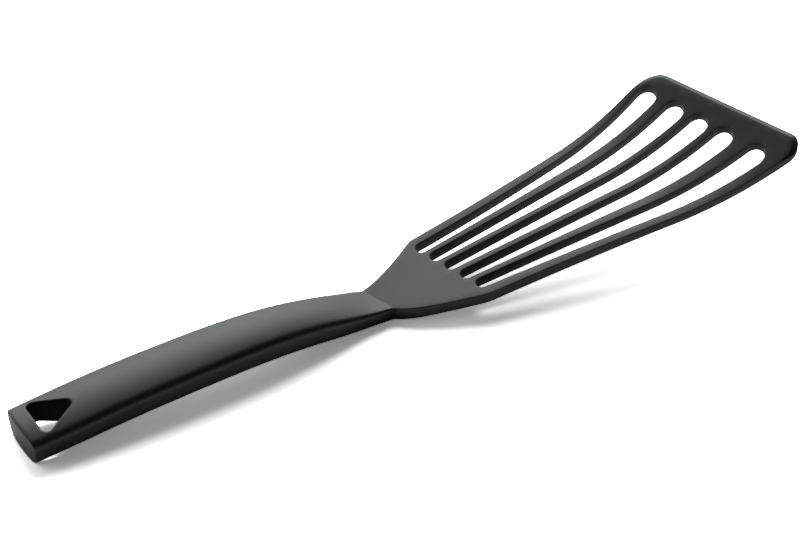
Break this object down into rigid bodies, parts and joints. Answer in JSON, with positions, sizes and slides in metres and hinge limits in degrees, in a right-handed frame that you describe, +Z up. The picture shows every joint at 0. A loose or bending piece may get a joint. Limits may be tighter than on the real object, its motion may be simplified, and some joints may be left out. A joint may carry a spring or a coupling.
{
  "type": "fish spatula",
  "caption": "Slotted fish spatula: wide fan-shaped blade with a slanted, curled tip, flat neck, and long arched D-section handle with a triangular hang hole.",
  "frame": {"origin": "middle of the bounding box, on the table it rests on", "axes": "+X along the handle towards the tip of the blade, +Y across to the side where the slanted tip is shorter, +Z up from the table"},
  "size_m": [0.3312, 0.073, 0.0438],
  "materials": {
    "blade_nylon": "satin, finely grained moulded nylon",
    "handle_nylon": "satin, finely grained moulded nylon",
    "back_nylon": "satin, finely grained moulded nylon"
  },
  "bodies": {
    "root": {"blade": "blade_nylon", "handle_shell": "handle_nylon", "handle_back": "back_nylon"}
  },
  "joints": []
}
